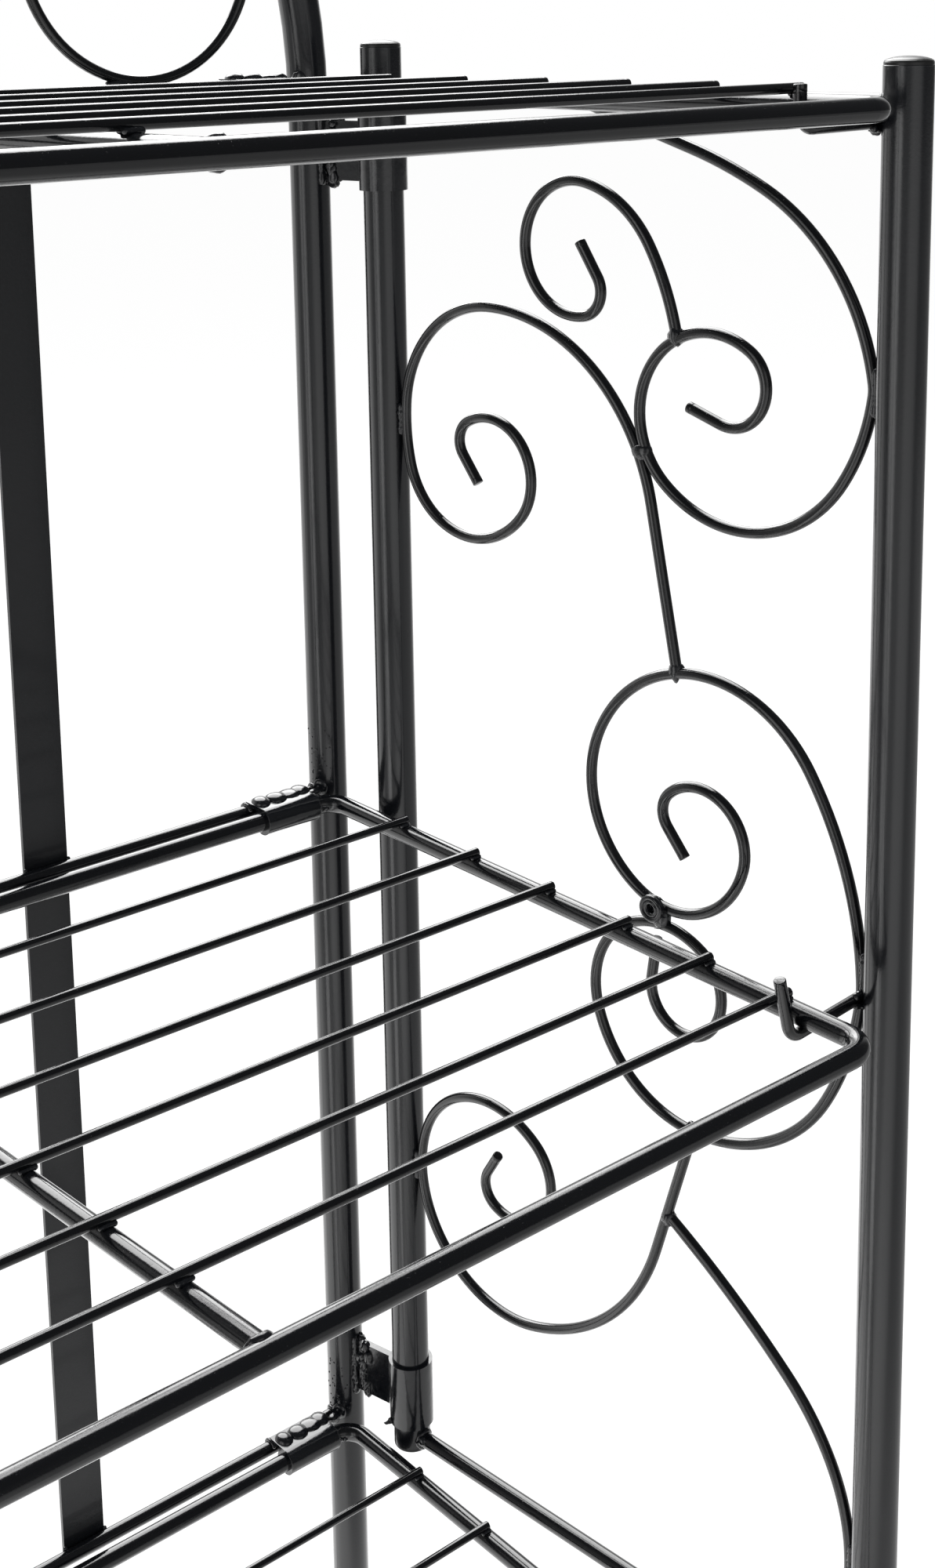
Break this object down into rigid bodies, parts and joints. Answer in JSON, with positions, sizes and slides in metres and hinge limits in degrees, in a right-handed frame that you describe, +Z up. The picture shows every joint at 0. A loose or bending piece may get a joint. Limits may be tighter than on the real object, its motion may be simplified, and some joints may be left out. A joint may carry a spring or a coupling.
{
  "type": "bakers rack",
  "caption": "Free-standing bakers rack: arched tubular back frame, scrolled wire gates at the sides and wire shelves that fold up.",
  "frame": {"origin": "on the floor, under the middle of the rack's overall box", "axes": "+X to the right seen from the front, +Y to the back, +Z up"},
  "size_m": [0.6756, 0.3673, 1.1685],
  "materials": {
    "coated_steel": "gloss",
    "cap_plastic": "satin"
  },
  "bodies": {
    "back_frame": {"back_hoop": "coated_steel", "back_rail_bottom": "coated_steel", "back_rail_middle": "coated_steel", "back_rail_top": "coated_steel", "back_strap_left": "coated_steel", "back_strap_right": "coated_steel", "arch_scroll_left": "coated_steel", "arch_scroll_right": "coated_steel", "shelf_clips_bottom": "coated_steel", "shelf_clips_middle": "coated_steel", "shelf_clips_top": "coated_steel", "gate_clips_left": "coated_steel", "gate_clips_right": "coated_steel", "hoop_feet": "cap_plastic"},
    "gate_left": {"gate_left_leg": "coated_steel", "gate_left_tube": "coated_steel", "gate_left_top_rail": "coated_steel", "gate_left_bottom_rail": "coated_steel", "gate_left_crown_scroll": "coated_steel", "gate_left_rear_upper_scroll": "coated_steel", "gate_left_small_curl": "coated_steel", "gate_left_middle_scroll": "coated_steel", "gate_left_rear_lower_scroll": "coated_steel", "gate_left_foot_scroll": "coated_steel", "gate_left_tie_washer": "coated_steel", "gate_left_shelf_hooks": "coated_steel", "gate_left_leg_cap": "cap_plastic", "gate_left_tube_cap": "cap_plastic", "gate_left_leg_foot": "cap_plastic", "gate_left_tube_plug": "cap_plastic"},
    "gate_right": {"gate_right_leg": "coated_steel", "gate_right_tube": "coated_steel", "gate_right_top_rail": "coated_steel", "gate_right_bottom_rail": "coated_steel", "gate_right_crown_scroll": "coated_steel", "gate_right_rear_upper_scroll": "coated_steel", "gate_right_small_curl": "coated_steel", "gate_right_middle_scroll": "coated_steel", "gate_right_rear_lower_scroll": "coated_steel", "gate_right_foot_scroll": "coated_steel", "gate_right_tie_washer": "coated_steel", "gate_right_shelf_hooks": "coated_steel", "gate_right_leg_cap": "cap_plastic", "gate_right_tube_cap": "cap_plastic", "gate_right_leg_foot": "cap_plastic", "gate_right_tube_plug": "cap_plastic"},
    "bottom_shelf": {"bottom_shelf_frame": "coated_steel", "bottom_shelf_brace": "coated_steel", "bottom_shelf_wires": "coated_steel"},
    "middle_shelf": {"middle_shelf_frame": "coated_steel", "middle_shelf_brace": "coated_steel", "middle_shelf_wires": "coated_steel"},
    "top_shelf": {"top_shelf_frame": "coated_steel", "top_shelf_brace": "coated_steel", "top_shelf_wires": "coated_steel"}
  },
  "joints": [
    {"name": "bottom_shelf_fold", "type": "hinge", "parent": "back_frame", "child": "bottom_shelf", "pos_m": [0, 0.161, 0.172], "axis": [-1, 0, 0], "range_deg": [0, 84]},
    {"name": "middle_shelf_fold", "type": "hinge", "parent": "back_frame", "child": "middle_shelf", "pos_m": [0, 0.161, 0.522], "axis": [-1, 0, 0], "range_deg": [0, 84]},
    {"name": "top_shelf_fold", "type": "hinge", "parent": "back_frame", "child": "top_shelf", "pos_m": [0, 0.161, 0.872], "axis": [-1, 0, 0], "range_deg": [0, 84]},
    {"name": "left_gate_swing", "type": "hinge", "parent": "back_frame", "child": "gate_left", "pos_m": [-0.302, 0.13, 0.532], "axis": [0, 0, 1], "range_deg": [0, 4.5]},
    {"name": "right_gate_swing", "type": "hinge", "parent": "back_frame", "child": "gate_right", "pos_m": [0.302, 0.13, 0.532], "axis": [0, 0, -1], "range_deg": [0, 4.5]}
  ]
}
